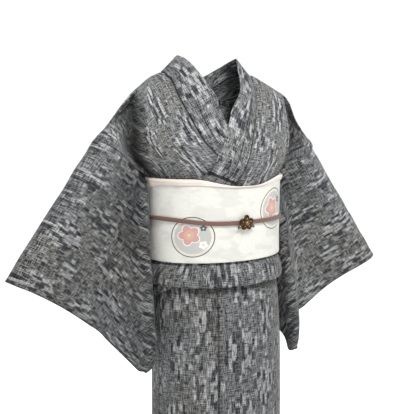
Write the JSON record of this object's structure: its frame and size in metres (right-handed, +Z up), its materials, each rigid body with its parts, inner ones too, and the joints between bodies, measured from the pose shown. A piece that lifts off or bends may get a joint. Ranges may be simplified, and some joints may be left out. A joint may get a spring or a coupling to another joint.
{
  "type": "worn tsumugi kimono with its belt",
  "caption": "Grey ikat-woven tsumugi silk kimono in its worn form, wrapped left over right, with a wide belt in a drum knot, a sash, a cord and a small cord ornament.",
  "frame": {"origin": "middle of the neck at the height where the shoulders carry the garment", "axes": "+Z up, the front faces -Y, the wearer's left is +X"},
  "size_m": [0.9058, 0.3296, 1.3729],
  "materials": {
    "tsumugi": "matt hand-woven silk with light and dark ikat dashes",
    "belt": "soft satin sheen, woven silk with medallions",
    "sash": "fine silk crepe, matt",
    "cord": "flat braided silk",
    "ornament": "dark patinated metal, raised petals"
  },
  "bodies": {
    "root": {"skirt_back_left": "tsumugi", "skirt_back_right": "tsumugi", "skirt_front_right": "tsumugi", "okumi_right": "tsumugi", "skirt_front_left": "tsumugi", "okumi_left": "tsumugi", "body_left": "tsumugi", "body_right": "tsumugi", "okumi_upper_right": "tsumugi", "okumi_upper_left": "tsumugi", "collar_tail": "tsumugi", "collar_cover": "tsumugi", "collar_end_left": "tsumugi", "collar_end_right": "tsumugi", "sleeve_left": "tsumugi", "sleeve_right": "tsumugi", "obi_band": "belt", "obi_drum": "belt", "obi_tail": "belt", "obi_hand": "belt", "obiage": "sash", "obijime": "cord", "obidome": "ornament"}
  },
  "joints": []
}
